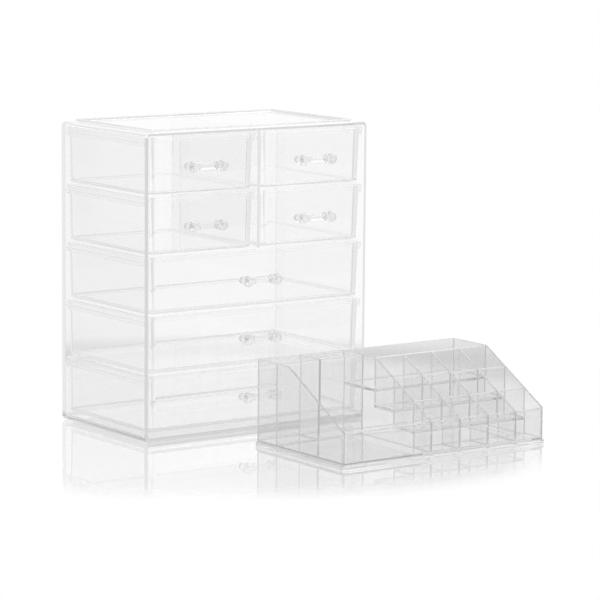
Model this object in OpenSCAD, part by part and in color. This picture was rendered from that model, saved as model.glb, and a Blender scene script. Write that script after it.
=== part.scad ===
// Clear moulded chest of seven hanging drawers, with a stepped cosmetics tray
// standing in front of it. Sizes are in millimetres. +Z is up, the drawers open
// towards -Y, and X runs to the right as seen from the front. The origin is the
// centre of the chest's underside, on the table that chest and tray stand on.

/* [Chest] */
// Width of the chest over its side walls
case_w = 240; // [232:1:300]
// Depth of the chest from its open front to its back
case_d = 140; // [130:1:200]
// Thickness of the side walls and of the back
wall_t = 3; // [2:0.1:4]
// Thickness of the base plate
base_t = 4; // [3:0.1:6]
// Thickness of the top plate
top_t = 3; // [2:0.1:5]
// Radius of the four long outer corners
corner_r = 5; // [3:0.1:8]
// Radius of the four long corners inside
inner_r = 2; // [1:0.1:4]
// Free height between the base plate and the lowest drawer
base_gap = 3.8; // [1:0.1:8]
// Free height between the highest drawer and the top plate
top_gap = 1.2; // [0.6:0.1:4]

/* [Rim on the top] */
// From the chest's sides to the outside of the rim
rim_side = 11.2; // [9:0.1:14]
// From the chest's front to the outside of the rim
rim_front = 7.6; // [4:0.1:14]
// From the chest's back to the outside of the rim
rim_back = 4.8; // [3:0.1:14]
// Height of the rim over the top plate
rim_h = 2.2; // [1:0.1:4]
// Thickness of the rim
rim_t = 1.6; // [1:0.1:3]

/* [Drawers] */
// Height of a drawer from its underside to the top of its flange
drawer_h = 50.9; // [40:0.1:80]
// Free height from one drawer's underside to the flange below it
row_gap = 1.7; // [1:0.1:4]
// Thickness of a drawer's walls
drawer_wall = 2; // [1.2:0.1:3]
// Thickness of a drawer's floor
drawer_floor = 2; // [1.2:0.1:3]
// Outer radius of a drawer's upright corners
drawer_r = 4.5; // [3.5:0.1:9]
// How far the flange stands out in front of the drawer's face
flange_front = 2.4; // [2:0.1:9]
// How far the flange stands out beside the drawer
flange_side = 2.4; // [2:0.1:4]
// How far the flange stands out behind the drawer
flange_back = 1; // [0.5:0.1:4]
// Thickness of the flange
flange_t = 1.6; // [1:0.1:3]
// Height of the flange's turned-down lip, with the flange
lip_h = 4.3; // [3.2:0.1:7]
// Thickness of the turned-down lip
lip_t = 1.2; // [0.8:0.1:1.6]
// Outer radius of the flange's upright corners
flange_r = 2.5; // [2:0.1:9]
// Free width between a flange and the wall or divider beside it
side_gap = 1.3; // [0.5:0.1:1.8]
// Free depth between a drawer's flange and the back of the chest
back_gap = 0.8; // [0.5:0.1:10]

/* [Rails and divider] */
// Free width between a rail and the side of the drawer that it carries
rail_side_gap = 0.9; // [0.4:0.1:1.1]
// Height of a rail
rail_h = 3.4; // [2:0.1:6]
// Running clearance between a rail and the lip that hangs on it
rail_gap = 0.2; // [0.1:0.05:0.4]
// From the chest's open front to the front end of a rail
rail_front = 4; // [0:0.5:12]
// Thickness of the upright divider between the small drawers
divider_t = 3; // [2:0.1:5]

/* [Handles] */
// Diameter of the round knob at each end of a handle
knob_d = 10.4; // [8:0.1:14]
// Distance between a handle's two knobs
knob_pitch = 31; // [26:0.5:45]
// Diameter of the bar between the knobs
bar_d = 5; // [3:0.1:6]
// Diameter of the post that carries a knob
post_d = 6.4; // [4:0.1:7.5]
// From the drawer's face to the middle of the bar
handle_reach = 9.4; // [8:0.1:14]
// Diameter of the collar on the bar beside each knob
collar_d = 7.4; // [6.5:0.1:8]
// From the middle of a knob to the far face of its collar
collar_reach = 7.5; // [6.5:0.1:9]
// From the top of the flange down to the middle of the bar
handle_drop = 26.8; // [20:0.1:34]

/* [Tray] */
// Height of the tray at its back
tray_h = 77; // [72:0.5:100]
// Height of the tray at its front
tray_front_h = 31; // [26:0.5:45]
// Thickness of the tray's walls and dividers
tray_wall = 2; // [1.4:0.1:3]
// Thickness of the tray's floors
tray_floor = 2; // [1.2:0.1:3]
// Outer radius of the tray's upright corners
tray_r = 4; // [3.6:0.1:8]
// Depth of the level stretch of the side walls' top edge
tray_level = 48.3; // [46:0.5:56]
// How far the foot stands out beyond the walls
foot_out = 1.5; // [1:0.1:3]
// Thickness of the ledge that joins the foot to the walls
foot_ledge = 1.1; // [0.8:0.1:3]
// Free width between the foot and the chest's rim, when the tray is on the chest
seat_gap = 0.7; // [0.3:0.1:1.5]
// Free height over the rim inside the foot, when the tray is on the chest
seat_rise = 0.3; // [0.1:0.1:1]
// From the foot's hollow up to the underside of the lowest floor
floor_lift = 0.5; // [0:0.1:3]
// Rise from one floor of the steps to the next
step_rise = 14.3; // [10:0.1:16]
// Number of columns of small slots
columns = 4; // [3:1:5]
// From the foot's left edge to the middle of the long divider
long_divider_x = 95.7; // [80:0.1:120]
// From the foot's left edge to the middle of the short divider
short_divider_x = 48.3; // [40:0.1:55]
// From the foot's back edge to the middle of the left cross panel
left_panel_back = 32; // [24:0.5:44]
// From the chest's middle to the foot's left edge, positive to the left
tray_left = 45; // [0:1:120]
// From the chest's front to the foot's back edge
tray_gap = 58.7; // [30:0.1:120]

/* [Hidden] */
$fn = 64;

// Each drawer: its name, its row from the top, and its side: -1 left, 1 right, 0 full width
DRAWERS = [["top_left", 0, -1], ["top_right", 0, 1],
           ["second_left", 1, -1], ["second_right", 1, 1],
           ["third", 2, 0], ["fourth", 3, 0], ["fifth", 4, 0]];
row_count = 5;
split_rows = 2;
row_pitch = drawer_h + row_gap;
case_h = base_t + base_gap + row_count * drawer_h + (row_count - 1) * row_gap + top_gap + top_t;
front_y = -case_d / 2;
back_y = case_d / 2 - wall_t;
inner_w = case_w - 2 * wall_t;
inner_h = case_h - base_t - top_t;

// Flange widths of the two drawer sizes, and the depth that they share
bay_w = (inner_w - divider_t) / 2;
small_w = bay_w - 2 * side_gap;
wide_w = inner_w - 2 * side_gap;
flange_d = back_y - back_gap - front_y;

// How far a rail stands out of its wall, and how far back it runs
rail_w = side_gap + flange_side - rail_side_gap;
rail_d = back_y - front_y - rail_front;

// Underside of a row's drawers, and underside of the rails that they hang on
function row_z(row) = case_h - top_t - top_gap - drawer_h - row * row_pitch;
function rail_z(row) = row_z(row) + drawer_h - lip_h - rail_gap - rail_h;

// Middle and flange width of a drawer, by its side
function drawer_x(side) = side * (divider_t + bay_w) / 2;
function drawer_w(side) = side == 0 ? wide_w : small_w;

// The rim, and the tray's foot that drops over it
rim_w = case_w - 2 * rim_side;
rim_d = case_d - rim_front - rim_back;
tray_w = rim_w + 2 * (seat_gap + tray_wall);
tray_d = rim_d + 2 * (seat_gap + tray_wall);
foot_r = tray_r + foot_out;
rim_r = foot_r - tray_wall - seat_gap;
seat_h = rim_h + seat_rise;
foot_h = seat_h + foot_ledge;

// Lines inside the tray, from the lower left front corner of its foot: middles of the
// outer walls, end of the slope, and underside of the lowest floor
wall_mid = foot_out + tray_wall / 2;
wall_right = tray_w - wall_mid;
wall_back = tray_d - wall_mid;
slope_y = tray_d - foot_out - tray_level;
floor_z = seat_h + floor_lift;

// The stepped side: four floors, climbing to the back, and slots in columns on the first three
steps = 4;
step_pitch = slope_y / (steps - 1);
column_pitch = (wall_right - long_divider_x) / columns;
function step_y(step) = step == 0 ? wall_mid : step == steps ? wall_back : step * step_pitch;
function step_z(step) = floor_z + step * step_rise;

// A cut runs this far past the solid that it opens, and no corner inside is sharper than this
past = 1;
least_r = 0.3;

// Rectangle with round corners, its lower left corner at the origin
module round_rect(w, d, r) {
    translate([r, 0]) square([w - 2 * r, d]);
    translate([0, r]) square([w, d - 2 * r]);
    for (x = [r, w - r], y = [r, d - r]) translate([x, y]) circle(r);
}

// Upright block with round corners
module round_block(w, d, h, r) {
    linear_extrude(h) round_rect(w, d, r);
}

// Upright ring with round corners, its wall inside the given outline
module round_ring(w, d, h, r, t) {
    difference() {
        round_block(w, d, h, r);
        translate([t, t, -past])
            round_block(w - 2 * t, d - 2 * t, h + 2 * past, max(r - t, least_r));
    }
}

// The chest: one deep moulding, open at the front, with a low rim round its top
module case() {
    color("whitesmoke", 0.35)
    difference() {
        union() {
            translate([-case_w / 2, case_d / 2, 0]) rotate([90, 0, 0])
                round_block(case_w, case_h, case_d, corner_r);
            translate([-rim_w / 2, front_y + rim_front, case_h - top_t / 2])
                round_ring(rim_w, rim_d, top_t / 2 + rim_h, rim_r, rim_t);
        }
        translate([-inner_w / 2, back_y, base_t]) rotate([90, 0, 0])
            round_block(inner_w, inner_h, case_d, inner_r);
    }
}

// Plate that hangs from the top between the small drawers and meets the back
module centre_divider() {
    bottom = row_z(split_rows - 1);
    color("gainsboro", 0.4)
    translate([-divider_t / 2, front_y, bottom])
        cube([divider_t, back_y - front_y, case_h - top_t - bottom]);
}

// Strips that the drawers' lips hang on, with their left sides at x
module rails(x, count) {
    for (row = [0 : count - 1])
        translate([x, front_y + rail_front, rail_z(row)]) cube([rail_w, rail_d, rail_h]);
}

module left_rails() {
    color("lightgray", 0.5) rails(-inner_w / 2, row_count);
}

module right_rails() {
    color("lightgray", 0.5) rails(inner_w / 2 - rail_w, row_count);
}

module divider_rails() {
    color("lightgray", 0.5) {
        rails(-divider_t / 2 - rail_w, split_rows);
        rails(divider_t / 2, split_rows);
    }
}

// Open box with a flange all round its top and a lip turned down from the flange
module drawer_box(w) {
    body_w = w - 2 * flange_side;
    body_d = flange_d - flange_front - flange_back;
    difference() {
        union() {
            translate([flange_side, flange_front, 0])
                round_block(body_w, body_d, drawer_h, drawer_r);
            translate([0, 0, drawer_h - flange_t])
                round_block(w, flange_d, flange_t, flange_r);
            translate([0, 0, drawer_h - lip_h])
                round_ring(w, flange_d, lip_h, flange_r, lip_t);
        }
        translate([flange_side + drawer_wall, flange_front + drawer_wall, drawer_floor])
            round_block(body_w - 2 * drawer_wall, body_d - 2 * drawer_wall, drawer_h,
                        max(drawer_r - drawer_wall, least_r));
    }
}

module drawer(d) {
    w = drawer_w(d[2]);
    color("lightsteelblue", 0.45)
    translate([drawer_x(d[2]) - w / 2, front_y, row_z(d[1])]) drawer_box(w);
}

// A bar with a round knob at each end and a collar beside each knob, turned as one
// piece, and a post behind each knob
module handle_bar() {
    rotate([0, 90, 0]) rotate_extrude() intersection() {
        union() {
            translate([0, -knob_pitch / 2]) square([bar_d / 2, knob_pitch]);
            for (side = [-1, 1]) {
                translate([0, side * knob_pitch / 2]) circle(d = knob_d);
                translate([0, side * (knob_pitch - collar_reach) / 2 - collar_reach / 2])
                    square([collar_d / 2, collar_reach]);
            }
        }
        translate([0, -knob_pitch]) square([knob_d, 2 * knob_pitch]);
    }
    for (side = [-1, 1]) translate([side * knob_pitch / 2, 0, 0])
        rotate([-90, 0, 0]) cylinder(h = handle_reach, d = post_d);
}

module handle(d) {
    color("white", 0.6)
    translate([drawer_x(d[2]), front_y + flange_front - handle_reach,
               row_z(d[1]) + drawer_h - handle_drop]) handle_bar();
}

// Foot of the tray: a skirt that fits over the chest's rim, and the ledge above it
module tray_foot() {
    round_ring(tray_w, tray_d, foot_h, foot_r, tray_wall);
    translate([0, 0, seat_h])
        round_ring(tray_w, tray_d, foot_ledge, foot_r, foot_out + tray_wall);
}

// The space inside the tray's outer faces: level at the back, sloping down to the front
module tray_outline() {
    intersection() {
        translate([foot_out, foot_out, 0])
            round_block(tray_w - 2 * foot_out, tray_d - 2 * foot_out, tray_h, tray_r);
        rotate([90, 0, 90]) linear_extrude(tray_w)
            polygon([[foot_out, seat_h], [tray_d - foot_out, seat_h],
                     [tray_d - foot_out, tray_h], [slope_y, tray_h],
                     [foot_out, tray_front_h]]);
    }
}

// Upright plate of the tray between two middle lines, from height z to the top
module tray_plate(x0, y0, x1, y1, z) {
    translate([min(x0, x1 - tray_wall / 2), min(y0, y1 - tray_wall / 2), z])
        cube([max(x1 - x0, tray_wall), max(y1 - y0, tray_wall), tray_h - z]);
}

// Two slots and a deep bin, at the tray's left
module left_bins() {
    panel_y = tray_d - left_panel_back;
    translate([wall_mid, wall_mid, floor_z])
        cube([long_divider_x - wall_mid, wall_back - wall_mid, tray_floor]);
    tray_plate(long_divider_x, wall_mid, long_divider_x, wall_back, floor_z);
    tray_plate(wall_mid, panel_y, long_divider_x, panel_y, floor_z);
    tray_plate(short_divider_x, panel_y, short_divider_x, wall_back, floor_z);
}

// Floors that climb in steps, each with its back panel and its column dividers
module stepped_slots() {
    for (step = [0 : steps - 1]) {
        translate([long_divider_x, step_y(step), step_z(step)])
            cube([wall_right - long_divider_x, step_y(step + 1) - step_y(step), tray_floor]);
        if (step < steps - 1) {
            tray_plate(long_divider_x, step_y(step + 1), wall_right, step_y(step + 1),
                       step_z(step));
            for (column = [1 : columns - 1]) {
                x = long_divider_x + column * column_pitch;
                tray_plate(x, step_y(step), x, step_y(step + 1), step_z(step));
            }
        }
    }
}

// The tray: one moulding, hollow under its floors
module tray() {
    color("lightgray", 0.45)
    translate([-tray_left, front_y - tray_gap - tray_d, 0]) {
        tray_foot();
        intersection() {
            tray_outline();
            union() {
                translate([foot_out, foot_out, 0])
                    round_ring(tray_w - 2 * foot_out, tray_d - 2 * foot_out, tray_h, tray_r,
                               tray_wall);
                left_bins();
                stepped_slots();
            }
        }
    }
}

case();
centre_divider();
left_rails();
right_rails();
divider_rails();
for (d = DRAWERS) {
    drawer(d);
    handle(d);
}
tray();
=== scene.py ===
# %% [markdown]
# # A clear chest of drawers and its cosmetics tray
# Everything in this object is transparent plastic, so nearly all that the eye gets is edges:
# the rounded rims, lips and corners bend the light of the room into grey and white lines, and
# the flat walls only pass it on. So each piece is built as a closed shell with its real wall
# thickness and its real small radii, and the stage round it is lit the way glass is lit.
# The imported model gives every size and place; this file only adds form and finish to it.

import bmesh
import bpy
import numpy as np
from mathutils import Matrix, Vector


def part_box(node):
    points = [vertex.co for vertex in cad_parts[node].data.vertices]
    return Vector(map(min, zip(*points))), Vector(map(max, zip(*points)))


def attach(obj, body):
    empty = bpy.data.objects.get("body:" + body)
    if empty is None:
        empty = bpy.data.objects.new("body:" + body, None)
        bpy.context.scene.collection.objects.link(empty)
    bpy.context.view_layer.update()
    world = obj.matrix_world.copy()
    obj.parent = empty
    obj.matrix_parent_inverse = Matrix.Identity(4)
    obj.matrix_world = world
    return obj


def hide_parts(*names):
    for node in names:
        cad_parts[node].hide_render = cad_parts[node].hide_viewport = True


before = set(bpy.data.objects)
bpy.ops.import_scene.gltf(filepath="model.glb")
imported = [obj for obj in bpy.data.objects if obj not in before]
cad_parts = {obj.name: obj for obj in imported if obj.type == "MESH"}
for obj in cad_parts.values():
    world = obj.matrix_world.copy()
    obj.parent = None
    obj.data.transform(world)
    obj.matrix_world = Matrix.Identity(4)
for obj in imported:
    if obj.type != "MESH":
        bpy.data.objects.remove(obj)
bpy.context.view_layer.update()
MM = 0.001


# %% [markdown]
# ## Measuring with the frame
# A piece that replaces a CAD node has to fill the same space, so its outer size comes from the
# node's box. The few sizes that a box can't tell, such as wall thicknesses, are named here once.

# %% Sizes in millimetres
def box(node):
    """Lowest and highest corner of a CAD node, in millimetres."""
    low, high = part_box(node)
    return np.array(low) / MM, np.array(high) / MM


CASE_LOW, CASE_HIGH = box("case")
WALL = 3.0
BASE_PLATE = 4.0
TOP_PLATE = 3.0
RIM_HEIGHT = 2.2
CASE_TOP = CASE_HIGH[2] - RIM_HEIGHT
print("case is", CASE_HIGH - CASE_LOW, "and its top plate is at", round(CASE_TOP, 1))


# %% [markdown]
# ## Profiles with rounded corners
# A moulded wall has no sharp edge: the steel mould is cut with a round tool, and plastic shrinks
# in a corner. Modelling those radii one by one would take a bevel with a different width on
# every edge. Drawing the section as a polyline and giving each corner its own radius says the
# same thing in one line, and the arcs come out exact.

# %% Fillet a polyline
def filleted(points, radii, steps=4):
    """The polyline with an arc at each inner corner.

    At a corner P with unit vectors a and b to its neighbours, the arc's centre lies on the
    bisector at radius / sin(half the angle), it touches both legs at radius / tan(half the
    angle), and the points between go round by spherical interpolation.
    """
    points = np.array(points, dtype=float)
    corner = points[1:-1]
    radius = np.array(radii, dtype=float)[:, None]
    a = points[:-2] - corner
    b = points[2:] - corner
    a /= np.linalg.norm(a, axis=1, keepdims=True)
    b /= np.linalg.norm(b, axis=1, keepdims=True)
    half = np.arccos(np.clip((a * b).sum(1, keepdims=True), -1, 1)) / 2
    centre = corner + (a + b) / np.linalg.norm(a + b, axis=1, keepdims=True) * radius / np.sin(half)
    first = (corner + a * radius / np.tan(half) - centre)[:, None, :]
    last = (corner + b * radius / np.tan(half) - centre)[:, None, :]
    turn = (np.pi - 2 * half)[:, None, :]
    t = np.linspace(0, 1, steps + 1)[None, :, None]
    arcs = centre[:, None, :] + (np.sin((1 - t) * turn) * first + np.sin(t * turn) * last) / np.sin(turn)
    return np.vstack([points[:1], arcs.reshape(-1, 2), points[-1:]])


trial = filleted([(0, 0), (10, 0), (10, 10)], [2])
print("a filleted corner has", len(trial), "points, the middle one at", trial[3].round(2))


# %% [markdown]
# ## Rings and lofts
# The chest, the drawers, the rails and the rim are all prismatic with round corners, so each is
# a stack of rounded rectangles that shrink, grow and move as a profile says. That is a loft:
# one parameter goes round the ring, the other along the profile.

# %% Rounded rectangles, as arrays
def rounded_rectangles(x0, x1, y0, y1, radius, far_radius=None, steps=8):
    """One ring per entry of the arrays: corner centre plus radius times (cos, sin) of the angle.

    The angle runs over a quarter turn at each corner, and the straight sides need no points.
    The two corners at y1 may have a radius of their own.
    """
    far_radius = radius if far_radius is None else far_radius
    sides = np.broadcast_arrays(x0, x1, y0, y1, radius, far_radius)
    x0, x1, y0, y1, radius, far_radius = (np.atleast_1d(v)[:, None] for v in sides)
    quarter = np.linspace(0, np.pi / 2, steps + 1)
    angle = np.concatenate([quarter + k * np.pi / 2 for k in range(4)])[None, :]
    right = np.repeat([1, 0, 0, 1], steps + 1)[None, :]
    top = np.repeat([1, 1, 0, 0], steps + 1)[None, :]
    radius = np.where(top, far_radius, radius)
    x = np.where(right, x1 - radius, x0 + radius) + radius * np.cos(angle)
    y = np.where(top, y1 - radius, y0 + radius) + radius * np.sin(angle)
    return x, y


def loft(rings, closed=False):
    """Quads between neighbouring rings, and a flat cap on the first and last unless closed."""
    count, size = rings.shape[:2]
    here = np.arange(count * size).reshape(count, size)
    after = np.roll(here, -1, axis=0) if closed else here[1:]
    before = here if closed else here[:-1]
    quads = np.stack([before, np.roll(before, -1, 1), np.roll(after, -1, 1), after], -1)
    faces = quads.reshape(-1, 4).tolist()
    if not closed:
        faces += [here[0, ::-1].tolist(), here[-1].tolist()]
    return rings.reshape(-1, 3), faces


x, y = rounded_rectangles(0, 20, 0, 10, 3)
print("a rounded rectangle has", x.size, "points and spans", x.min(), x.max(), y.min(), y.max())


# %% [markdown]
# ## From arrays to a piece
# Glass and clear plastic only look right on a watertight mesh whose faces all point outwards,
# because the renderer uses them to tell going in from coming out. So doubles are merged, the
# signed volume is measured, and a mesh that comes out negative is turned round. The Weighted
# Normal modifier keeps large faces flat and lets only the small radii shade as curves.

# %% Make meshes and pieces
def shell(points, faces, name="shell"):
    """A watertight mesh in millimetres, with its doubles merged and its faces outwards."""
    mesh = bpy.data.meshes.new(name)
    mesh.from_pydata(np.asarray(points).tolist(), [], faces)
    work = bmesh.new()
    work.from_mesh(mesh)
    bmesh.ops.remove_doubles(work, verts=work.verts, dist=1e-4)
    bmesh.ops.dissolve_degenerate(work, edges=work.edges, dist=1e-4)
    if work.calc_volume(signed=True) < 0:
        bmesh.ops.reverse_faces(work, faces=work.faces)
    work.to_mesh(mesh)
    work.free()
    return mesh


def united(base, *others):
    """The base with each other mesh joined to it by the exact Boolean modifier."""
    block = bpy.data.objects.new("block", base)
    bpy.context.collection.objects.link(block)
    for other in others:
        tool = bpy.data.objects.new("tool", other)
        bpy.context.collection.objects.link(tool)
        union = block.modifiers.new("Union", "BOOLEAN")
        union.operation = "UNION"
        union.solver = "EXACT"
        union.object = tool
    bpy.context.view_layer.update()
    joined = bpy.data.meshes.new_from_object(block.evaluated_get(bpy.context.evaluated_depsgraph_get()))
    for union in list(block.modifiers):
        bpy.data.objects.remove(union.object)
    bpy.data.objects.remove(block)
    return joined


def place(name, mesh, body, slot, material, *nodes):
    """Put a mesh in millimetres into the scene as a piece that stands for CAD nodes."""
    mesh.name = name
    mesh.transform(Matrix.Diagonal((MM, MM, MM, 1)))
    mesh.materials.clear()
    mesh.materials.append(material)
    mesh.shade_smooth()
    piece = bpy.data.objects.new(name, mesh)
    bpy.context.collection.objects.link(piece)
    normals = piece.modifiers.new("Weighted Normal", "WEIGHTED_NORMAL")
    normals.keep_sharp = False
    normals.weight = 100
    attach(piece, body)
    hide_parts(*nodes)
    work = bmesh.new()
    work.from_mesh(mesh)
    loose = sum(not edge.is_manifold for edge in work.edges)
    litres = work.calc_volume(signed=True) * 1000
    work.free()
    print(f"{name}: {len(mesh.polygons)} faces, {litres:.4f} litres, {loose} open edges")
    return piece


# %% [markdown]
# ## Colours and shader nodes
# Colours are written as the sRGB hex values that a colour picker shows. The shader works in
# linear light, so one function turns them. One small function adds a shader node, sets its
# options and sockets, and links whatever is handed in as another node's output.

# %% Colour and node helpers
def linear(code):
    """sRGB hex to linear RGBA: v / 12.92 up to 0.04045, else ((v + 0.055) / 1.055) ** 2.4."""
    srgb = np.array([int(code[i:i + 2], 16) for i in (1, 3, 5)]) / 255
    rgb = np.where(srgb <= 0.04045, srgb / 12.92, ((srgb + 0.055) / 1.055) ** 2.4)
    return (*rgb.tolist(), 1.0)


def add(tree, kind, sockets=None, **options):
    """Add a node; each socket gets a value, or a link if it is given another node's output."""
    made = tree.nodes.new(kind)
    for name, value in options.items():
        setattr(made, name, value)
    for name, value in (sockets or {}).items():
        if isinstance(value, bpy.types.NodeSocket):
            tree.links.new(value, made.inputs[name])
        else:
            made.inputs[name].default_value = value
    return made


print("mid grey in linear light:", round(linear("#808080")[0], 3))


# %% [markdown]
# ## Clear plastics
# The chest, its drawers and the tray are injection moulded polystyrene, the brittle, brilliant
# plastic of such boxes (IOR about 1.59). Three things tell it from perfect glass. It swallows a
# little light over a long path, so a wall seen edge-on turns grey. Its skin is not quite flat:
# it shows slow waves some 20 to 40 mm long where the melt flowed and shrank. And it has a faint
# haze that grows where it is handled. The handles are cast acrylic (IOR about 1.49), and their
# waves are short and deep.
# Light makes more bounces in nested clear boxes, and along a wall seen edge-on, than a renderer
# follows, and a path that is cut off turns black. At its last bounce the surface therefore glows
# with a painted light that stands in for what such a path would bring in the end. Light that is
# caught between the faces of a plate comes in at the plate's edges, so the painted glow is set by
# how the plate lies and where it stands. A lying plate glows, but is painted darker where it lies
# on the table. A wall that faces the front glows most and a side wall less, painted darkest at
# the chest's left end, the dark one. The tray's many short walls hand little on, so its painted
# glow is darker all over.

# %% Painted glow for light caught in a plate
MOST_BOUNCES = 11
MOST_MIRRORINGS = 4
PAINTED_LATE_GLOW = 0.96
# Painted glow brightens lying plates over these heights in metres, side walls from left end to middle
PAINTED_GLOW_LYING = {"From Min": 0.004, "From Max": 0.014, "To Min": 0.72, "To Max": 1.0}
LEFT_TO_MIDDLE = {"From Min": -0.12, "From Max": 0.0}
# Painted glow strengths: walls facing the front, side walls at the left end and at the middle
CHEST_PAINTED_GLOW = {"front": 0.9, "left": 0.72, "right": 0.85}
TRAY_PAINTED_GLOW = {"front": 0.68, "left": 0.56, "right": 0.56}


def painted_caught_light(tree, place_in_space, walls):
    """Painted glow for light caught in a plate: by height, facing or X, mixed by the face's normal."""
    facing = add(tree, "ShaderNodeNewGeometry").outputs["True Normal"]
    normal = add(tree, "ShaderNodeSeparateXYZ", {0: facing})
    where = add(tree, "ShaderNodeSeparateXYZ", {0: place_in_space})
    sideways = add(tree, "ShaderNodeMath", {0: normal.outputs["X"]}, operation="ABSOLUTE")
    lying = add(tree, "ShaderNodeMath", {0: normal.outputs["Z"]}, operation="ABSOLUTE")
    # Painted glow: side walls darker towards the left end, lying plates darker near the table
    side_wall_glow = add(tree, "ShaderNodeMapRange", {"Value": where.outputs["X"], **LEFT_TO_MIDDLE,
                                                 "To Min": walls["left"], "To Max": walls["right"]})
    plate = add(tree, "ShaderNodeMapRange", {"Value": where.outputs["Z"], **PAINTED_GLOW_LYING})
    upright = add(tree, "ShaderNodeMix", {"Factor": sideways.outputs[0], 2: walls["front"],
                                          3: side_wall_glow.outputs["Result"]})
    return add(tree, "ShaderNodeMix", {"Factor": lying.outputs[0], 2: upright.outputs[0],
                                       3: plate.outputs["Result"]}).outputs[0]


print("light left in the chest's walls:", CHEST_PAINTED_GLOW, "and in the tray's:", TRAY_PAINTED_GLOW)


# %% Moulded clear plastic
SHADOW_TINT = "#FAFAFA"
DEPTH_TINT = "#909293"
RUBBED_MM = 9
WAVES = {"Detail": 1.5, "Roughness": 0.4}
RUBBING = {"From Min": 0.35, "From Max": 0.75}


def clear_plastic(name, tint, ior, haze, grey_per_metre, wave_mm, wave_depth_mm, walls=CHEST_PAINTED_GLOW):
    """Moulded clear plastic: full transmission, slow surface waves, fine haze, absorption."""
    material = bpy.data.materials.new(name)
    material.use_nodes = True
    tree = material.node_tree
    tree.nodes.clear()
    place_in_space = add(tree, "ShaderNodeTexCoord").outputs["Object"]
    waves = add(tree, "ShaderNodeTexNoise", {"Vector": place_in_space, "Scale": 1 / (wave_mm * MM),
                                             **WAVES})
    skin = add(tree, "ShaderNodeBump", {"Height": waves.outputs["Fac"], "Strength": 1.0,
                                        "Distance": wave_depth_mm * MM})
    rubbing = add(tree, "ShaderNodeTexNoise", {"Vector": place_in_space, "Detail": 3.0,
                                               "Scale": 1 / (RUBBED_MM * MM)})
    rough = add(tree, "ShaderNodeMapRange", {"Value": rubbing.outputs["Fac"], **RUBBING,
                                             "To Min": haze * 0.6, "To Max": haze * 1.6})
    plastic = add(tree, "ShaderNodeBsdfPrincipled", {
        "Base Color": linear(tint), "IOR": ior, "Transmission Weight": 1.0,
        "Roughness": rough.outputs["Result"], "Normal": skin.outputs["Normal"]})
    path = add(tree, "ShaderNodeLightPath")
    through = add(tree, "ShaderNodeBsdfTransparent", {"Color": linear(SHADOW_TINT)})
    open_to_light = add(tree, "ShaderNodeMixShader", {0: path.outputs["Is Shadow Ray"],
                                                      1: plastic.outputs[0], 2: through.outputs[0]})
    # Where a path is cut off the surface glows: a painted light, its strength set by facing, height and X
    late = add(tree, "ShaderNodeMath", {0: path.outputs["Ray Depth"], 1: MOST_BOUNCES - 0.5},
               operation="GREATER_THAN")
    caught = add(tree, "ShaderNodeMath", {0: path.outputs["Glossy Depth"], 1: MOST_MIRRORINGS - 0.5},
                 operation="GREATER_THAN")
    painted_glow_mask = add(tree, "ShaderNodeMath", {0: late.outputs[0], 1: caught.outputs[0]},
                  operation="MAXIMUM")
    left = add(tree, "ShaderNodeMix", {"Factor": caught.outputs[0], 2: PAINTED_LATE_GLOW,
                                       3: painted_caught_light(tree, place_in_space, walls)})
    painted_glow_shader = add(tree, "ShaderNodeEmission", {"Color": (1, 1, 1, 1), "Strength": left.outputs[0]})
    surface = add(tree, "ShaderNodeMixShader", {0: painted_glow_mask.outputs[0], 1: open_to_light.outputs[0],
                                                2: painted_glow_shader.outputs[0]})
    inside = add(tree, "ShaderNodeVolumeAbsorption", {"Color": linear(DEPTH_TINT),
                                                      "Density": grey_per_metre})
    add(tree, "ShaderNodeOutputMaterial", {"Surface": surface.outputs[0],
                                           "Volume": inside.outputs[0]})
    return material


print("a shadow passes", SHADOW_TINT, "and a long way through plastic tends to", DEPTH_TINT)


# %% The four plastics
case_polystyrene = clear_plastic("clear_polystyrene_case", "#FFFFFF", 1.59, 0.02, 3.0, 38, 0.05)
drawer_polystyrene = clear_plastic("clear_polystyrene_drawer", "#FFFFFF", 1.59, 0.02, 2.5, 26, 0.05)
tray_polystyrene = clear_plastic("clear_polystyrene_tray", "#FAFAFA", 1.59, 0.03, 9.0, 24, 0.06,
                                 TRAY_PAINTED_GLOW)
handle_acrylic = clear_plastic("clear_acrylic_handle", "#FFFFFF", 1.49, 0.02, 12.0, 2.2, 0.12)
print("materials:", [m.name for m in bpy.data.materials if m.name.startswith("clear")])


# %% [markdown]
# ## The case
# The outer box is one deep moulding: four walls and a back, open at the front. Its section from
# the middle of the back, round the outside, over the front edge and down the inside is a single
# profile, and the ring that follows it is the chest's front view with its round corners. The
# top and base plates differ in thickness from the sides, so the inset of the ring is stretched
# to suit each side. The low rim on the top is a ring of its own, joined by a Boolean.

# %% Case with its rim
CASE_RADIUS = 5.0
CASE_INNER_RADIUS = 2.0
# Where the flat caps of the back begin, inwards from the outside, and their corner radius
CAP_INSET = 9.0
CAP_RADIUS = 1.0
# Edge radii: back outside, front outside, front inside, back inside
CASE_EDGES = [0.8, 1.3, 0.4, 1.5]
RIM_WALL = 1.6
RIM_RADIUS = 2.8
RIM_EDGE = 0.5
RIM_IN = {"side": 11.2, "front": 7.6, "back": 4.8}


def case_moulding():
    """Loft of front-view rings along (inset, y): back, outside, front edge, inside, back."""
    back, front = CASE_HIGH[1], CASE_LOW[1]
    inner_back = back - WALL
    profile = filleted([(CAP_INSET, back), (0, back), (0, front), (WALL, front), (WALL, inner_back),
                        (CAP_INSET, inner_back)], CASE_EDGES)
    inset, depth = profile.T
    radius = np.interp(inset, [0, WALL, CAP_INSET], [CASE_RADIUS, CASE_INNER_RADIUS, CAP_RADIUS])
    x, z = rounded_rectangles(CASE_LOW[0] + inset, CASE_HIGH[0] - inset,
                              inset * BASE_PLATE / WALL, CASE_TOP - inset * TOP_PLATE / WALL, radius)
    y = np.broadcast_to(depth[:, None], x.shape)
    return shell(*loft(np.stack([x, y, z], -1)))


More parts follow.
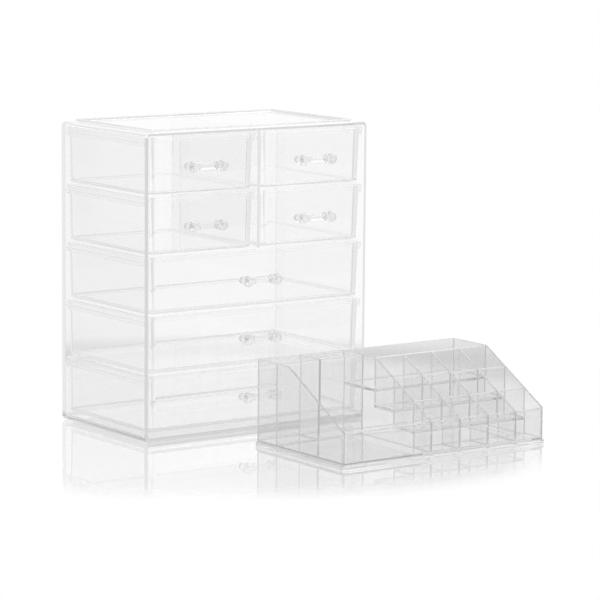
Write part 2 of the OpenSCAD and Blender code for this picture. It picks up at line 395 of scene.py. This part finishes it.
def case_rim():
    """Closed ring whose section is a small wall with a rounded top, its foot in the plate."""
    foot = CASE_TOP - TOP_PLATE / 2
    section = filleted([(0, foot), (0, CASE_HIGH[2]), (RIM_WALL, CASE_HIGH[2]), (RIM_WALL, foot)],
                       [RIM_EDGE, RIM_EDGE])
    inset, height = section.T
    x, y = rounded_rectangles(CASE_LOW[0] + RIM_IN["side"] + inset, CASE_HIGH[0] - RIM_IN["side"] - inset,
                              CASE_LOW[1] + RIM_IN["front"] + inset, CASE_HIGH[1] - RIM_IN["back"] - inset,
                              RIM_RADIUS - inset)
    z = np.broadcast_to(height[:, None], x.shape)
    return shell(*loft(np.stack([x, y, z], -1), closed=True))


place("case_moulding", united(case_moulding(), case_rim()), "chest", "clear_case",
      case_polystyrene, "case")


# %% [markdown]
# ## Divider and rails
# Plain strips with broken edges, set into the case. A film of air only a few hundredths of a
# millimetre thick is left where they meet it, as at a dry joint, because two clear solids that
# share a face give the renderer two surfaces in one place.

# %% Bars along the depth
AIR_FILM = 0.03
DIVIDER_EDGE = 0.6


def bar(low, high, radius=0.4):
    """Loft along Y of a rounded rectangle, its ends rounded by shrinking the last rings."""
    profile = filleted([(2 * radius / 3, low[1]), (0, low[1]), (0, high[1]), (2 * radius / 3, high[1])],
                       [radius / 2, radius / 2], steps=3)
    inset, depth = profile.T
    x, z = rounded_rectangles(low[0] + inset, high[0] - inset, low[2] + inset, high[2] - inset,
                              radius, steps=3)
    y = np.broadcast_to(depth[:, None], x.shape)
    return loft(np.stack([x, y, z], -1))


def together(solids):
    """Several (points, faces) solids as one."""
    starts = np.cumsum([0] + [len(points) for points, _ in solids])
    faces = [[int(start) + i for i in face] for start, (_, own) in zip(starts, solids) for face in own]
    return np.vstack([points for points, _ in solids]), faces


trial, _ = together([bar(np.array([0, 0, 0]), np.array([2, 100, 3]))] * 2)
print("two bars have", len(trial), "points and reach", trial.max(0))


# %% Rails under the drawers' lips, and the divider
DRAWERS = [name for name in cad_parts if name.startswith("drawer_")]
LIP = 4.3
RAIL_GAP = 0.2
RAIL_HEIGHT = 3.4


def rails(node, x_ranges):
    """One strip under the lip of each row of drawers, for each range of X."""
    low, high = box(node)
    tops = sorted({round(float(box(name)[1][2]), 2) for name in DRAWERS})
    solids = []
    for top in tops:
        rail_top = top - LIP - RAIL_GAP
        if rail_top > high[2] + AIR_FILM or rail_top - RAIL_HEIGHT < low[2] - AIR_FILM:
            continue
        for x0, x1 in x_ranges:
            solids.append(bar(np.array([x0, low[1], rail_top - RAIL_HEIGHT]),
                              np.array([x1, high[1] - AIR_FILM, rail_top])))
    return shell(*together(solids))


divider_low, divider_high = box("centre_divider")
place("divider_plate", shell(*bar(divider_low, divider_high - [0, AIR_FILM, AIR_FILM],
                                 DIVIDER_EDGE)),
      "chest", "clear_case", case_polystyrene, "centre_divider")
for node, side in (("left_rails", -1), ("right_rails", 1)):
    low, high = box(node)
    reach = (low[0] + AIR_FILM, high[0]) if side < 0 else (low[0], high[0] - AIR_FILM)
    place(node + "_strips", rails(node, [reach]), "chest", "clear_case", case_polystyrene, node)
low, high = box("divider_rails")
ranges = [(low[0], divider_low[0] - AIR_FILM), (divider_high[0] + AIR_FILM, high[0])]
place("divider_rails_strips", rails("divider_rails", ranges), "chest", "clear_case",
      case_polystyrene, "divider_rails")


# %% [markdown]
# ## Drawers
# Each drawer is a thin moulded box that hangs by a flange: the flange stands out at the top all
# round, and its edge turns down into a lip. Mould tools need a slight taper or the part would
# not come out, so the walls lean in towards the floor. One profile tells it all, from the middle
# of the underside, up the outside, out under the flange, round the lip, over the top and down
# the inside. The flange reaches out less at the back, where the wall is almost upright too, so
# the back of the ring has its own table of inset against profile position. The front corners
# are rounder inside than outside, so the plastic is thick there, and the wedge bends the light
# into the grey bands beside each face.

# %% Drawer shells
FLANGE_OUT = 2.4
FLANGE_BACK = 1.0
FLANGE = 1.6
LIP_WALL = 1.2
GROOVE = 0.1
DRAWER_WALL = 2.0
DRAWER_FLOOR = 2.0
TAPER = 1.0
TAPER_BACK = 0.3
# How far the flat caps of the floor begin inside the walls, and how much nearer to the back
CAP_IN = 6.0
CAP_BACK = 1.0
# Edge radii: floor outside, wall under the flange, lip's three edges, two on top, floor inside
DRAWER_EDGES = [1.6, 0.3, 0.3, 0.3, 0.3, 0.5, 0.5, 2.4]
# Corner radii in plan: flange, inside of its lip, wall outside, wall inside, middle of the floor
FRONT_RADII = [2.5, 1.5, 1.0, 5.0, 3.5]
BACK_RADII = [2.5, 1.5, 2.5, 1.5, 1.0]


def drawer_moulding(node):
    """Loft of plan-view rings along (inset, height), with the flange, the lip and the taper."""
    low, high = box(node)
    height = high[2] - low[2]
    outer, inner = FLANGE_OUT, FLANGE_OUT + DRAWER_WALL
    middle = inner + TAPER + CAP_IN
    profile = filleted(
        [(middle, 0), (outer + TAPER, 0), (outer, height - FLANGE),
         (LIP_WALL, height - FLANGE), (LIP_WALL, height - LIP), (0, height - LIP), (0, height),
         (inner, height), (inner + TAPER, DRAWER_FLOOR), (middle, DRAWER_FLOOR)],
        DRAWER_EDGES)
    inset, level = profile.T
    back = np.interp(inset, [0, LIP_WALL, outer, outer + TAPER, inner, inner + TAPER, middle],
                     [0, FLANGE_BACK - GROOVE, FLANGE_BACK, FLANGE_BACK + TAPER_BACK,
                      FLANGE_BACK + DRAWER_WALL, FLANGE_BACK + DRAWER_WALL + TAPER_BACK,
                      middle - CAP_BACK])
    stops = [0, LIP_WALL, outer, inner, middle]
    x, y = rounded_rectangles(low[0] + inset, high[0] - inset, low[1] + inset, high[1] - back,
                              np.interp(inset, stops, FRONT_RADII), np.interp(inset, stops, BACK_RADII))
    z = np.broadcast_to((low[2] + level)[:, None], x.shape)
    return shell(*loft(np.stack([x, y, z], -1)))


for node in DRAWERS:
    place(node + "_box", drawer_moulding(node), node.replace("drawer_", "") + "_drawer",
          "clear_drawer", drawer_polystyrene, node)


# %% [markdown]
# ## Handles
# A handle is turned from clear rod: a ball at each end, a collar beside it and a thinner bar
# between. A turned part is a surface of revolution, so its outline is drawn once from pole to
# pole and swept round the X axis. Two short posts carry it, joined by a Boolean, which leaves
# the crisp ring that the real joint shows. The drawers taper, so a post reaches back to where
# the drawer's face really is at its height.

# %% Turned bars with their posts
BALL = 5.2
COLLAR = 3.7
COLLAR_REACH = 7.5
ROD = 2.5
POST = 3.2
NECK_EDGE = 0.5
POST_EDGE = 0.3
PIN = 0.01
BALL_STEPS = 22
AROUND = 48


def turned_bar(pitch):
    """Surface of revolution about X: arc of the ball, collar, bar, and the same mirrored."""
    start = np.arcsin(COLLAR / BALL)
    angle = np.linspace(np.pi, start, BALL_STEPS)
    ball = np.stack([-pitch / 2 + BALL * np.cos(angle), BALL * np.sin(angle)], 1)
    shoulder = -pitch / 2 + COLLAR_REACH
    neck = filleted([ball[-1], (shoulder, COLLAR), (shoulder, ROD), (0, ROD)],
                    [NECK_EDGE, NECK_EDGE])[1:-1]
    half = np.vstack([ball, neck])
    outline = np.vstack([half, half[::-1] * [-1, 1]])
    turn = np.linspace(0, 2 * np.pi, AROUND, endpoint=False)
    along, radius = outline.T
    rings = np.stack([np.broadcast_to(along[:, None], (along.size, AROUND)),
                      radius[:, None] * np.cos(turn), radius[:, None] * np.sin(turn)], -1)
    return shell(*loft(rings))


def post(x, depth):
    """Surface of revolution about Y: a round post with a softened far end."""
    inset, y = filleted([(POST, 0), (0, 0), (0, depth), (POST - PIN, depth)], [PIN, POST_EDGE],
                        steps=3).T
    turn = np.linspace(0, 2 * np.pi, AROUND, endpoint=False)
    radius = (POST - inset)[:, None]
    rings = np.stack([x + radius * np.sin(turn), np.broadcast_to(y[:, None], (y.size, AROUND)),
                      radius * np.cos(turn)], -1)
    return shell(*loft(rings))


print("a handle has balls of", 2 * BALL, "mm, a bar of", 2 * ROD, "mm and posts of", 2 * POST, "mm")


# %% A handle on each drawer
for node in DRAWERS:
    handle = node.replace("drawer_", "handle_")
    low, high = box(handle)
    drawer_low, drawer_high = box(node)
    pitch = high[0] - low[0] - 2 * BALL
    centre = np.array([(low[0] + high[0]) / 2, low[1] + BALL, (low[2] + high[2]) / 2])
    lean = TAPER * (drawer_high[2] - FLANGE - centre[2]) / (drawer_high[2] - FLANGE - drawer_low[2])
    depth = drawer_low[1] + FLANGE_OUT + lean - AIR_FILM - centre[1]
    mesh = united(turned_bar(pitch), post(-pitch / 2, depth), post(pitch / 2, depth))
    mesh.transform(Matrix.Translation(centre.tolist()))
    place(handle + "_bar", mesh, node.replace("drawer_", "") + "_drawer", "clear_handle",
          handle_acrylic, handle)


# %% [markdown]
# ## The tray
# The tray is one moulding too, but not a prism: its walls stand on a stepped foot, the floors at
# its right climb to the back over four levels, and every wall's top follows a slope that bends
# level. Since a mould opens straight up and down, no face hides behind another, and each side is
# a height over the plan: z = f(x, y) above and z = g(x, y) below. Both are worked out on one
# grid whose lines crowd at every wall, so the radii get their points and the flats stay cheap.
# The two sheets share their outline and are welded there. Concentric squares at the four
# corners are then pushed into circles, which rounds foot, ledge and wall together.

# %% Lines and heights of the tray
TRAY_LOW, TRAY_HIGH = box("tray")
TRAY_W, TRAY_D, TRAY_H = (TRAY_HIGH - TRAY_LOW).round(3)
FOOT_OUT = 1.5
FOOT_TOP = 3.6
FOOT_HOLLOW = 2.5
HALF_WALL = 1.0
FLOOR_UNDER = 3.0
FLOOR = 2.0
STEP_RISE = 14.3
FRONT_HEIGHT = 31.0
LONG_DIVIDER = 95.7
SHORT_DIVIDER = 48.3
LEFT_PANEL = TRAY_D - 32.0
SLOPE_END = TRAY_D - FOOT_OUT - 48.3
BEND = 7.0
CORNER = 5.5
ROUND = 0.4
FILLET = 0.8
LEAN = 0.1
EDGE = FOOT_OUT + HALF_WALL
RIGHT, BACK = TRAY_W - EDGE, TRAY_D - EDGE
PANELS = SLOPE_END / 3 * np.arange(1, 4)
COLUMNS = LONG_DIVIDER + (RIGHT - LONG_DIVIDER) / 4 * np.arange(1, 4)
# Walls along Y as (x, y from, y to), and walls along X as (y, x from, x to)
ALONG_Y = [(EDGE, EDGE, BACK), (RIGHT, EDGE, BACK), (LONG_DIVIDER, EDGE, BACK),
           (SHORT_DIVIDER, LEFT_PANEL, BACK)] + [(x, EDGE, SLOPE_END) for x in COLUMNS]
ALONG_X = [(EDGE, EDGE, RIGHT), (BACK, EDGE, RIGHT), (LEFT_PANEL, EDGE, LONG_DIVIDER)]
ALONG_X += [(y, LONG_DIVIDER, RIGHT) for y in PANELS]
print("tray is", TRAY_W, "x", TRAY_D, "x", TRAY_H, "with", len(ALONG_X) + len(ALONG_Y), "walls")


# %% [markdown]
# ## The tray from above
# Seen from above, a wall is only a strip where the surface stands high. So the distance to each
# wall's middle line is enough to say everything: inside half a wall's thickness the surface is
# the wall's top, rounded towards its edges, and outside it is the floor, with a fillet that
# climbs a quarter circle up the wall. The tops follow one line over the depth.

# %% Upper side of the tray
AWAY = 99.0
TINY = 1e-6


def top_line(y):
    """Height of the walls' tops: a straight slope, an arc of radius BEND, then level."""
    steepness = (TRAY_H - FRONT_HEIGHT) / (SLOPE_END - FOOT_OUT)
    angle = np.arctan(steepness)
    reach = BEND * np.tan(angle / 2)
    slope = FRONT_HEIGHT + steepness * (y - FOOT_OUT)
    centre = SLOPE_END + reach
    arc = TRAY_H - BEND + np.sqrt(np.maximum(BEND ** 2 - (y - centre) ** 2, 0))
    bent = np.where(y > SLOPE_END - reach * np.cos(angle), arc, slope)
    return np.where(y > centre, TRAY_H, np.maximum(bent, FRONT_HEIGHT))


def wall_distances(x, y):
    """Distance from each wall's middle line where that wall stands, else a large number."""
    near = [np.where((y >= a) & (y <= b), np.abs(x - c), AWAY) for c, a, b in ALONG_Y]
    near += [np.where((x >= a) & (x <= b), np.abs(y - c), AWAY) for c, a, b in ALONG_X]
    return np.array(near)


def floors(x, y):
    """Top of the floor: level at the left, one step higher behind each panel at the right."""
    step = (y[None] > PANELS[:, None, None]).sum(0)
    return FLOOR_UNDER + FLOOR + np.where(x > LONG_DIVIDER, step * STEP_RISE, 0)


def quarter_round(t, radius):
    """Depth of a rounded edge at distance t past where it starts: r - sqrt(r^2 - t^2)."""
    t = np.clip(t, 0, radius)
    return radius - np.sqrt(radius ** 2 - t ** 2)


def upper(x, y):
    """Walls with rounded tops, filleted down to the floors, and the foot's ledge outside."""
    t = wall_distances(x, y)
    inside = (t <= HALF_WALL + TINY).any(0)
    tops = top_line(y) - quarter_round(t - (HALF_WALL - ROUND), ROUND).min(0)
    edge = np.minimum(np.minimum(x, TRAY_W - x), np.minimum(y, TRAY_D - y))
    base = np.where(edge < EDGE, FOOT_TOP - quarter_round(ROUND - edge, ROUND), floors(x, y))
    rise = quarter_round(HALF_WALL + LEAN + FILLET - t, FILLET).max(0)
    z = np.where(inside, tops, base + rise)
    return np.where(edge < TINY, ROUND, z)


print("walls' tops over the depth:", top_line(np.linspace(0, TRAY_D, 5)).round(1))


# %% [markdown]
# ## The tray from below
# Underneath, the foot is a skirt round a shallow hollow, so the tray can drop over the chest's
# rim. Behind the first panel the floors climb, and a moulding of even thickness has to be hollow
# there, so the underside climbs too, one step behind each panel.

# %% Under side of the tray
def lower(x, y):
    """Skirt of the foot, its hollow, the underside of the floor and of the climbing steps.

    The first line of numbers is the distance from the outline and the second the height there:
    round the skirt's outer edge, along its foot, up its inner side and over to the floor.
    """
    edge = np.minimum(np.minimum(x, TRAY_W - x), np.minimum(y, TRAY_D - y))
    wall = 2 * HALF_WALL
    z = np.interp(edge, [0, 0.05, 0.15, ROUND, wall - 0.3, wall - 0.05, wall, wall + LEAN, wall + 0.3,
                         FOOT_OUT + wall, FOOT_OUT + wall + LEAN],
                  [ROUND, 0.25, 0.1, 0, 0, 0.06, 0.3, FOOT_HOLLOW - 0.3, FOOT_HOLLOW,
                   FOOT_HOLLOW, FLOOR_UNDER])
    step = np.clip((y[None] - PANELS[:, None, None] - HALF_WALL) / LEAN, 0, 1).sum(0)
    reach = np.clip((x - LONG_DIVIDER - HALF_WALL) / LEAN, 0, 1)
    hollow = step * STEP_RISE * reach
    indoors = np.clip((edge - FOOT_OUT - wall) / LEAN, 0, 1)
    return z + hollow * indoors


middle = np.array([[TRAY_W * 0.7]])
under = [round(float(lower(middle, np.array([[y]]))[0, 0]), 1) for y in PANELS + BEND]
print("hollow under the steps, behind each panel:", under)


# %% [markdown]
# ## Welding the tray's two sheets
# Both sheets stand on the same grid, so their outlines meet point for point. The grid's lines
# are placed by listed offsets from each wall: across its rounded top, down its side and
# through the fillet. A grid has square corners, so the last step pushes the concentric squares
# at each corner into circles, which keeps every ring of the foot, the ledge and the wall.

# %% Weld the two sheets and round the corners
BEND_HALF = 2.2


def stations(length, walls, extra=()):
    """Grid lines along one axis: the foot at both ends, every wall, and any extra ones."""
    foot = np.array([0, 0.05, 0.15, 0.28, 0.4, 1.7, 1.95, 2.0, 2.1, 2.3, 3.5, 3.6, CORNER])
    across = np.array([0, 0.6, 0.75, 0.87, 0.96, 1.0, 1.1, 1.15, 1.3, 1.55, 1.9])
    beside = np.concatenate([across, -across])
    lines = np.concatenate([foot, length - foot, *[wall + beside for wall in walls], extra])
    return np.unique(lines.round(3))


def round_corners(x, y):
    """Near a corner, scale the offset from the corner's centre by its larger side over its length."""
    dx = np.maximum(np.maximum(CORNER - x, x - (TRAY_W - CORNER)), 0)
    dy = np.maximum(np.maximum(CORNER - y, y - (TRAY_D - CORNER)), 0)
    scale = np.maximum(dx, dy) / np.maximum(np.hypot(dx, dy), 1e-9)
    shift = np.where((dx > 0) & (dy > 0), 1 - scale, 0)
    x = x + np.where(x < TRAY_W / 2, 1, -1) * dx * shift
    y = y + np.where(y < TRAY_D / 2, 1, -1) * dy * shift
    return x, y


def tray_moulding():
    """Both sheets on one grid of crowded lines, with opposite winding, welded at the outline."""
    bend_lines = SLOPE_END + np.linspace(-BEND_HALF, BEND_HALF, 9)
    xs = stations(TRAY_W, [wall[0] for wall in ALONG_Y])
    ys = stations(TRAY_D, [wall[0] for wall in ALONG_X], bend_lines)
    x, y = np.meshgrid(xs, ys, indexing="ij")
    round_x, round_y = round_corners(x, y)
    here = np.arange(x.size).reshape(x.shape)
    quads = np.stack([here[:-1, :-1], here[1:, :-1], here[1:, 1:], here[:-1, 1:]], -1).reshape(-1, 4)
    sheets = [np.stack([round_x, round_y, z], -1).reshape(-1, 3) for z in (upper(x, y), lower(x, y))]
    faces = np.vstack([quads, quads[:, ::-1] + x.size])
    return shell(np.vstack(sheets) + TRAY_LOW, faces.tolist())


place("tray_moulding", tray_moulding(), "loose_tray", "clear_tray", tray_polystyrene, "tray")


# %% [markdown]
# ## Camera
# A product picture is taken with a long lens from some way off, so that upright edges stay
# almost parallel. The turn, tilt, roll and lens below were fitted to the object's straight
# edges, and are set as numbers, because aiming by hand never meets all edges at once.

# %% Camera at the photograph's angle
YAW = 0.6238
PITCH = 0.1449
ROLL = 0.0087
CAMERA_AT = (-1.56829, -2.31365, 0.51797)
LENS = 185.37

forward = np.array([np.sin(YAW) * np.cos(PITCH), np.cos(YAW) * np.cos(PITCH), -np.sin(PITCH)])
level_right = np.array([np.cos(YAW), -np.sin(YAW), 0])
level_up = np.cross(level_right, forward)
right = np.cos(ROLL) * level_right + np.sin(ROLL) * level_up
up = np.cos(ROLL) * level_up - np.sin(ROLL) * level_right
turned = Matrix(np.stack([right, up, -forward], 1).tolist()).to_4x4()
camera_data = bpy.data.cameras.new("camera")
camera_data.lens = LENS
camera_data.sensor_width = 36
camera = bpy.data.objects.new("camera", camera_data)
camera.matrix_world = Matrix.Translation(CAMERA_AT) @ turned
bpy.context.collection.objects.link(camera)
bpy.context.scene.camera = camera
print("camera stands", round(float(np.hypot(*CAMERA_AT[:2])), 2), "m from the chest")


# %% [markdown]
# ## Light for clear things
# A transparent object in an evenly white room disappears. Photographers light glass in a bright
# field: white behind it, darker on both sides, so that straight rays stay white and the rays
# that an edge bends aside come from the dark. The function below gives that brightness for any
# direction: it falls off where the direction points sideways to the main view. The world uses
# it for mirrored and transmitted rays, a little darker overhead, and so does the floor. The
# camera itself only ever sees white.

# %% Bright field
SIDE_DARK = 0.69
# Sideways shares of a direction between which the field falls off
SIDE_FALL = {"From Min": 0.2, "From Max": 0.75}


def bright_field(tree, direction):
    """Brightness over direction: 1 along the main view and against it, less to the sides.

    The sideways share is |d . level_right| over the horizontal length of d.
    """
    flat = add(tree, "ShaderNodeVectorMath", {0: direction, 1: (1, 1, 0)}, operation="MULTIPLY")
    unit = add(tree, "ShaderNodeVectorMath", {0: flat.outputs[0]}, operation="NORMALIZE")
    sideways = add(tree, "ShaderNodeVectorMath", {0: unit.outputs[0], 1: level_right.tolist()},
                   operation="DOT_PRODUCT")
    share = add(tree, "ShaderNodeMath", {0: sideways.outputs["Value"]}, operation="ABSOLUTE")
    aside = add(tree, "ShaderNodeMapRange", {"Value": share.outputs[0], **SIDE_FALL, "To Min": 1.0,
                                             "To Max": SIDE_DARK}, interpolation_type="SMOOTHSTEP")
    return aside.outputs["Result"]


def seen_not_lit(tree):
    """Two outputs: 1 for camera rays, and 1 for rays from a mirror or through a clear wall."""
    path = add(tree, "ShaderNodeLightPath")
    some = add(tree, "ShaderNodeMath", {0: path.outputs["Is Glossy Ray"],
                                        1: path.outputs["Is Transmission Ray"]}, operation="MAXIMUM")
    return path.outputs["Is Camera Ray"], some.outputs[0]


print("to the sides the field falls to", SIDE_DARK)


# %% World
TOP_DARK = 0.93
TOP_FALL = {"From Min": 0.25, "From Max": 0.8}
AMBIENT = 0.55
world = bpy.data.worlds.new("studio")
bpy.context.scene.world = world
world.use_nodes = True
tree = world.node_tree
tree.nodes.clear()
sky = add(tree, "ShaderNodeTexCoord").outputs["Generated"]
height = add(tree, "ShaderNodeSeparateXYZ", {0: sky}).outputs["Z"]
overhead = add(tree, "ShaderNodeMapRange", {"Value": height, **TOP_FALL, "To Min": 1.0,
                                            "To Max": TOP_DARK}, interpolation_type="SMOOTHSTEP")
field = add(tree, "ShaderNodeMath", {0: bright_field(tree, sky), 1: overhead.outputs["Result"]},
            operation="MULTIPLY")
from_camera, from_clear = seen_not_lit(tree)
lit = add(tree, "ShaderNodeMix", {"Factor": from_clear, 2: AMBIENT, 3: field.outputs[0]})
level = add(tree, "ShaderNodeMix", {"Factor": from_camera, 2: lit.outputs[0], 3: 1.0})
background = add(tree, "ShaderNodeBackground", {"Color": (1, 1, 1, 1), "Strength": level.outputs[0]})
add(tree, "ShaderNodeOutputWorld", {"Surface": background.outputs[0]})
print("ambient", AMBIENT, "sides", SIDE_DARK, "overhead", TOP_DARK)


# %% [markdown]
# ## Floor
# The table is a white sheet with a slight gloss. What the camera sees of it is mostly its own
# even white, with some true shading left so that a soft shadow stays under the chest, and a
# weak mirror layer that shows the chest standing on its own reflection. Both fade out with the
# distance from the chest, as they do where the sheet sweeps up behind a product. Seen through the
# plastic or in a mirror, its glow is painted: darker near the chest as a painted shadow, and
# farther off darker to the sides, after the bright field.

# %% Floor sheet
FLOOR_HALF = 9.0
FLOOR_DROP = 0.00005
mesh = bpy.data.meshes.new("floor")
corners = [(-FLOOR_HALF, -FLOOR_HALF), (FLOOR_HALF, -FLOOR_HALF), (FLOOR_HALF, FLOOR_HALF),
           (-FLOOR_HALF, FLOOR_HALF)]
mesh.from_pydata([(x, y, -FLOOR_DROP) for x, y in corners], [], [(0, 1, 2, 3)])
floor = bpy.data.objects.new("floor", mesh)
bpy.context.collection.objects.link(floor)
print("the floor is", 2 * FLOOR_HALF, "m wide")


# %% Its own white, its shade and a painted shadow
# Distances from the chest's middle, in metres, over which the painted shadow and the dip in own white fade
SHADOW_FALL = {"From Min": 0.36, "From Max": 0.5}
# Painted shadow: the floor's glow near the chest, for rays through the plastic and from mirrors
PAINTED_SHADOW_UNDER_CHEST = 0.54
OWN_WHITE = 0.72
SHOWN_SHADE = 0.36
TRUE_SHADE = 0.8
paper = bpy.data.materials.new("white_satin_sheet")
paper.use_nodes = True
tree = paper.node_tree
tree.nodes.clear()
spot = add(tree, "ShaderNodeTexCoord").outputs["Object"]
from_camera, from_clear = seen_not_lit(tree)
away = add(tree, "ShaderNodeVectorMath", {0: spot}, operation="LENGTH").outputs["Value"]
far = add(tree, "ShaderNodeMapRange", {"Value": away, **SHADOW_FALL},
          interpolation_type="SMOOTHSTEP").outputs["Result"]
# Painted shade: for those rays the floor glows darker near the chest and, farther off, to the sides
field = add(tree, "ShaderNodeMix", {"Factor": far, 2: PAINTED_SHADOW_UNDER_CHEST, 3: bright_field(tree, spot)})
glow = add(tree, "ShaderNodeMix", {"Factor": from_camera, 2: field.outputs[0], 3: 1.0})
seen = add(tree, "ShaderNodeMath", {0: from_camera, 1: from_clear}, operation="MAXIMUM")
own_white = add(tree, "ShaderNodeMix", {"Factor": far, 2: OWN_WHITE, 3: 1.0})
strength = add(tree, "ShaderNodeMath", {0: glow.outputs[0], 1: own_white.outputs[0]},
               operation="MULTIPLY")
masked = add(tree, "ShaderNodeMath", {0: strength.outputs[0], 1: seen.outputs[0]}, operation="MULTIPLY")
white = add(tree, "ShaderNodeEmission", {"Color": (1, 1, 1, 1), "Strength": masked.outputs[0]})
shown = add(tree, "ShaderNodeMapRange", {"Value": far, "To Min": SHOWN_SHADE, "To Max": 0.0})
shade = add(tree, "ShaderNodeMix", {"Factor": seen.outputs[0], 2: TRUE_SHADE, 3: shown.outputs[0]})
grey = {channel: shade.outputs[0] for channel in range(3)}
matt = add(tree, "ShaderNodeBsdfDiffuse", {"Color": add(tree, "ShaderNodeCombineColor", grey).outputs[0]})
body = add(tree, "ShaderNodeAddShader", {0: white.outputs[0], 1: matt.outputs[0]})
print("the camera sees", OWN_WHITE, "of its own white and", SHOWN_SHADE, "of its shade by the chest")


# %% Its gloss
MIRROR_FALL = {"From Min": 0.29, "From Max": 0.4}
MIRROR_STRENGTH = 2.1
MIRROR_IOR = 1.45
MIRROR_ROUGHNESS = 0.03
gloss = add(tree, "ShaderNodeBsdfGlossy", {"Color": (1, 1, 1, 1), "Roughness": MIRROR_ROUGHNESS})
mirror = add(tree, "ShaderNodeFresnel", {"IOR": MIRROR_IOR})
nearby = add(tree, "ShaderNodeMapRange", {"Value": away, **MIRROR_FALL, "To Min": MIRROR_STRENGTH,
                                          "To Max": 0.0}, interpolation_type="SMOOTHSTEP")
weak = add(tree, "ShaderNodeMath", {0: mirror.outputs[0], 1: nearby.outputs[0]}, operation="MULTIPLY")
top = add(tree, "ShaderNodeMixShader", {0: weak.outputs[0], 1: body.outputs[0], 2: gloss.outputs[0]})
add(tree, "ShaderNodeOutputMaterial", {"Surface": top.outputs[0]})
floor.data.materials.append(paper)
print("the reflection fades out", MIRROR_FALL["From Max"], "m from the chest's middle")


# %% [markdown]
# ## Lamps
# Large soft lamps leave no hard highlight on clear plastic. The key stands in front at the left
# and high, and gives the shadow its side; the fill stands behind at the right and opens it.

# %% Soft lamps
def aimed(direction):
    """Rotation that turns a lamp's own -Z along the direction, with its X level."""
    back = -direction / np.linalg.norm(direction)
    side = np.cross((0, 0, 1), back)
    side /= np.linalg.norm(side)
    return Matrix(np.stack([side, np.cross(back, side), back], 1).tolist()).to_4x4()


OBJECT_MIDDLE = (0.0, -0.05, 0.12)


def soft_lamp(name, at, size, watts):
    """Square area lamp of the given side, aimed at the middle of the object."""
    data = bpy.data.lights.new(name, "AREA")
    data.shape = "SQUARE"
    data.size = size
    data.energy = watts
    lamp = bpy.data.objects.new(name, data)
    bpy.context.collection.objects.link(lamp)
    lamp.matrix_world = Matrix.Translation(at) @ aimed(np.array(OBJECT_MIDDLE) - np.array(at))
    return lamp


soft_lamp("key_softbox", (-0.9, -0.9, 1.9), 1.2, 14)
soft_lamp("fill_softbox", (1.4, 0.8, 1.6), 1.4, 8)
bpy.context.scene.view_settings.view_transform = "Standard"
